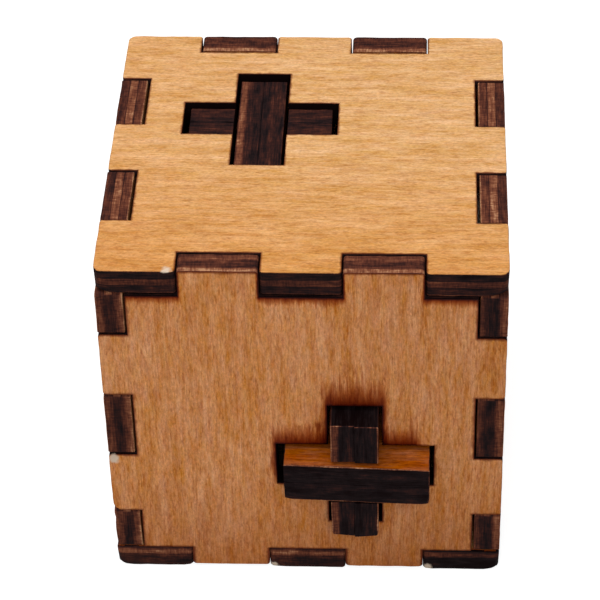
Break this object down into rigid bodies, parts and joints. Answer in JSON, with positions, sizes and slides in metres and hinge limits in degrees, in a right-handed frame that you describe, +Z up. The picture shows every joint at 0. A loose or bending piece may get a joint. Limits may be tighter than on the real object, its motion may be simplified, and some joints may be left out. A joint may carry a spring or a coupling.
{
  "type": "wooden puzzle box",
  "caption": "Finger-jointed plywood cube with sliding crosses along all axes that lock each other, a take-apart puzzle box for a shelf or table.",
  "frame": {"origin": "centre of the cube's bottom face", "axes": "+Z up, +Y towards the back panel, so the front cross slides out along -Y; +X to the right as seen from the front"},
  "size_m": [0.052, 0.0559, 0.052],
  "materials": {
    "panel_ply": "satin varnished birch plywood with laser-burnt edges",
    "cross_ply": "satin varnished birch plywood with laser-burnt edges and ends"
  },
  "bodies": {
    "box": {"top_panel": "panel_ply", "bottom_panel": "panel_ply", "front_panel": "panel_ply", "back_panel": "panel_ply", "left_panel": "panel_ply", "right_panel": "panel_ply"},
    "upright_cross": {"upright_cross_deep_plate_left_layer": "cross_ply", "upright_cross_deep_plate_right_layer": "cross_ply", "upright_cross_wide_plate_front_layer": "cross_ply", "upright_cross_wide_plate_back_layer": "cross_ply"},
    "front_cross": {"front_cross_flat_plate_lower_layer": "cross_ply", "front_cross_flat_plate_upper_layer": "cross_ply", "front_cross_standing_plate_left_layer": "cross_ply", "front_cross_standing_plate_right_layer": "cross_ply"},
    "side_cross": {"side_cross_flat_plate_lower_layer": "cross_ply", "side_cross_flat_plate_upper_layer": "cross_ply", "side_cross_standing_plate_front_layer": "cross_ply", "side_cross_standing_plate_back_layer": "cross_ply"}
  },
  "joints": [
    {"name": "upright_slide", "type": "slide", "parent": "box", "child": "upright_cross", "axis": [0, 0, 1], "range_m": [0, 0.0066]},
    {"name": "front_slide", "type": "slide", "parent": "box", "child": "front_cross", "axis": [0, -1, 0], "range_m": [-0.00385, 0.00275]},
    {"name": "side_slide", "type": "slide", "parent": "box", "child": "side_cross", "axis": [1, 0, 0], "range_m": [-0.0066, 0]}
  ]
}
